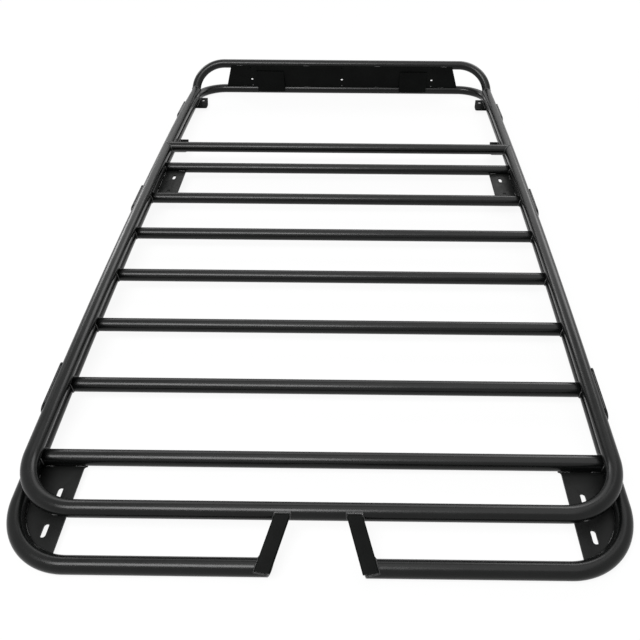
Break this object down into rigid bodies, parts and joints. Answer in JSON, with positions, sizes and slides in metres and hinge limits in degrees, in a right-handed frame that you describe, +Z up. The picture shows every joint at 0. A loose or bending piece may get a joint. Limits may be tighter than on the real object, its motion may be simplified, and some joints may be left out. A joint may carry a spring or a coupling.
{
  "type": "roof cargo cage",
  "caption": "Flat welded tube roof cage with stacked side rails, cross bars, a notched rear end, slotted mounting plates and a raised front hoop with an air dam.",
  "frame": {"origin": "on the ground plane under the middle of the cage, at the centre of the bottom of its box", "axes": "+X to the right, +Y to the front of the car, +Z up"},
  "size_m": [1.2736, 2.2222, 0.1577],
  "materials": {
    "tube_coat": "satin black powder coat on steel tube",
    "plate_coat": "satin black powder coat on flat steel"
  },
  "bodies": {
    "root": {"left_upper_rail": "tube_coat", "right_upper_rail": "tube_coat", "rear_left_upper_bend": "tube_coat", "rear_right_upper_bend": "tube_coat", "rear_upper_bar": "tube_coat", "left_hoop_bend": "tube_coat", "right_hoop_bend": "tube_coat", "hoop_bar": "tube_coat", "left_lower_rail": "tube_coat", "right_lower_rail": "tube_coat", "rear_left_lower_bend": "tube_coat", "rear_right_lower_bend": "tube_coat", "front_left_lower_bend": "tube_coat", "front_right_lower_bend": "tube_coat", "rear_left_lower_bar": "tube_coat", "rear_right_lower_bar": "tube_coat", "front_lower_bar": "tube_coat", "upper_crossbar": "tube_coat", "floor_bar_1": "tube_coat", "floor_bar_2": "tube_coat", "floor_bar_3": "tube_coat", "floor_bar_4": "tube_coat", "floor_bar_5": "tube_coat", "floor_bar_6": "tube_coat", "floor_bar_7": "tube_coat", "left_strut": "plate_coat", "right_strut": "plate_coat", "left_corner_plate": "plate_coat", "right_corner_plate": "plate_coat", "left_middle_plate": "plate_coat", "right_middle_plate": "plate_coat", "front_left_tab": "plate_coat", "front_right_tab": "plate_coat", "second_left_tab": "plate_coat", "second_right_tab": "plate_coat", "air_dam": "plate_coat", "left_dam_bracket": "plate_coat", "right_dam_bracket": "plate_coat", "left_side_plate_1": "plate_coat", "left_side_plate_2": "plate_coat", "left_side_plate_3": "plate_coat", "right_side_plate_1": "plate_coat", "right_side_plate_2": "plate_coat", "right_side_plate_3": "plate_coat"}
  },
  "joints": []
}
